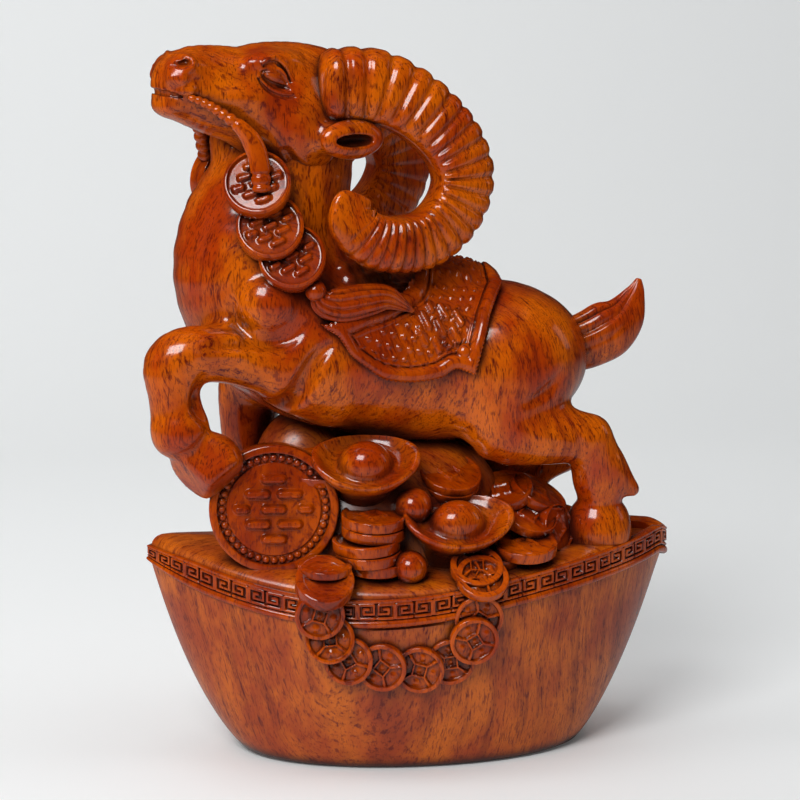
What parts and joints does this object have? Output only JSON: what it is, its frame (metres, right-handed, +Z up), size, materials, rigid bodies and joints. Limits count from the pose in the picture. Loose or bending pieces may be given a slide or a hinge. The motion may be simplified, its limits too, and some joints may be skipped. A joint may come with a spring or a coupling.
{
  "type": "chinese zodiac figure",
  "caption": "Carved wooden ram with curled horns, a saddle cloth and strung coins, stepping over a pile of coins and ingots on a boat-shaped ingot base.",
  "frame": {"origin": "middle of the base's flat underside", "axes": "+Z up; -X the way the ram looks; -Y the side with the raised foreleg, the big coin and the swag of coins"},
  "size_m": [0.1475, 0.0813, 0.1963],
  "materials": {
    "rosewood": "carved red-brown rosewood with dark pores and streaks, under a glossy clear wax or lacquer"
  },
  "bodies": {
    "root": {"carved_ram": "rosewood"}
  },
  "joints": []
}
